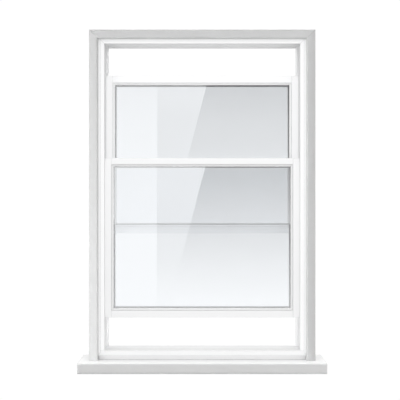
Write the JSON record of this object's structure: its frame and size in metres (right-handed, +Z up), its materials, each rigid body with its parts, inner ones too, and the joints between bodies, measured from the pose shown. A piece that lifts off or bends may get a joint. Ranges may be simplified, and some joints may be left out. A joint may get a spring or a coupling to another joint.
{
  "type": "sash window",
  "caption": "Double-hung timber sash window in its frame, on a sill board, with both double-glazed sashes sliding on spiral balances and standing part open.",
  "frame": {"origin": "on the sill board's underside, on the window's middle line, below the frame's room-side face", "axes": "+X to the right seen from the room, +Y toward the weather side, +Z up"},
  "size_m": [0.982, 0.245, 1.365],
  "materials": {
    "white_paint": "smooth white paint, satin",
    "grey_paint": "smooth pale grey paint, satin",
    "glass": "clear float glass with a faint green-grey cast",
    "spacer_bar": "dark grey bar, matt",
    "black_seal": "black, matt",
    "pile_seal": "off-white woven pile",
    "nylon": "off-white moulded nylon",
    "steel": "zinc plated, dull"
  },
  "bodies": {
    "frame": {"sill_board": "grey_paint", "frame_sill": "white_paint", "frame_head": "white_paint", "jamb_left": "white_paint", "jamb_right": "white_paint", "casing_head": "grey_paint", "casing_left": "grey_paint", "casing_right": "grey_paint", "staff_bead_head": "white_paint", "staff_bead_left": "white_paint", "staff_bead_right": "white_paint", "parting_bead_head": "white_paint", "parting_bead_left": "white_paint", "parting_bead_right": "white_paint", "outer_stop_head": "white_paint", "outer_stop_left": "white_paint", "outer_stop_right": "white_paint", "weather_seals": "pile_seal", "frame_screws": "steel", "balance_tubes": "steel", "balance_caps": "nylon", "balance_screws": "steel", "balance_springs": "steel"},
    "lower_sash": {"lower_stile_left": "white_paint", "lower_stile_right": "white_paint", "lower_meeting_rail": "white_paint", "lower_bottom_rail": "white_paint", "lower_glass_inner": "glass", "lower_glass_outer": "glass", "lower_spacer": "spacer_bar", "lower_edge_seal": "black_seal", "lower_tapes": "black_seal", "lower_setting_blocks": "black_seal", "lower_bead_top": "white_paint", "lower_bead_bottom": "white_paint", "lower_bead_left": "white_paint", "lower_bead_right": "white_paint", "lower_spiral_rods": "steel", "lower_balance_feet": "nylon"},
    "upper_sash": {"upper_stile_left": "white_paint", "upper_stile_right": "white_paint", "upper_meeting_rail": "white_paint", "upper_top_rail": "white_paint", "upper_glass_inner": "glass", "upper_glass_outer": "glass", "upper_spacer": "spacer_bar", "upper_edge_seal": "black_seal", "upper_tapes": "black_seal", "upper_setting_blocks": "black_seal", "upper_bead_top": "white_paint", "upper_bead_bottom": "white_paint", "upper_bead_left": "white_paint", "upper_bead_right": "white_paint", "upper_spiral_rods": "steel", "upper_balance_feet": "nylon"},
    "bush_lower_left_body": {"bush_lower_left": "nylon"},
    "bush_lower_right_body": {"bush_lower_right": "nylon"},
    "bush_upper_left_body": {"bush_upper_left": "nylon"},
    "bush_upper_right_body": {"bush_upper_right": "nylon"}
  },
  "joints": [
    {"name": "lower_sash_slide", "type": "slide", "parent": "frame", "child": "lower_sash", "axis": [0, 0, 1], "range_m": [-0.129, 0.43]},
    {"name": "upper_sash_slide", "type": "slide", "parent": "frame", "child": "upper_sash", "axis": [0, 0, 1], "range_m": [-0.44, 0.133]},
    {"name": "bush_lower_left_turn", "type": "hinge", "parent": "frame", "child": "bush_lower_left_body", "pos_m": [-0.4005, 0.038, 0.706], "axis": [0, 0, 1], "range_deg": [-1292, 389]},
    {"name": "bush_lower_right_turn", "type": "hinge", "parent": "frame", "child": "bush_lower_right_body", "pos_m": [0.4005, 0.038, 0.706], "axis": [0, 0, 1], "range_deg": [-1292, 389]},
    {"name": "bush_upper_left_turn", "type": "hinge", "parent": "frame", "child": "bush_upper_left_body", "pos_m": [-0.4005, 0.094, 0.706], "axis": [0, 0, 1], "range_deg": [-401, 1322]},
    {"name": "bush_upper_right_turn", "type": "hinge", "parent": "frame", "child": "bush_upper_right_body", "pos_m": [0.4005, 0.094, 0.706], "axis": [0, 0, 1], "range_deg": [-401, 1322]}
  ],
  "couplings": [
    {"joint": "bush_lower_left_turn", "follows": "lower_sash_slide", "rad_per_m": -52.36},
    {"joint": "bush_lower_right_turn", "follows": "lower_sash_slide", "rad_per_m": -52.36},
    {"joint": "bush_upper_left_turn", "follows": "upper_sash_slide", "rad_per_m": -52.36},
    {"joint": "bush_upper_right_turn", "follows": "upper_sash_slide", "rad_per_m": -52.36}
  ]
}
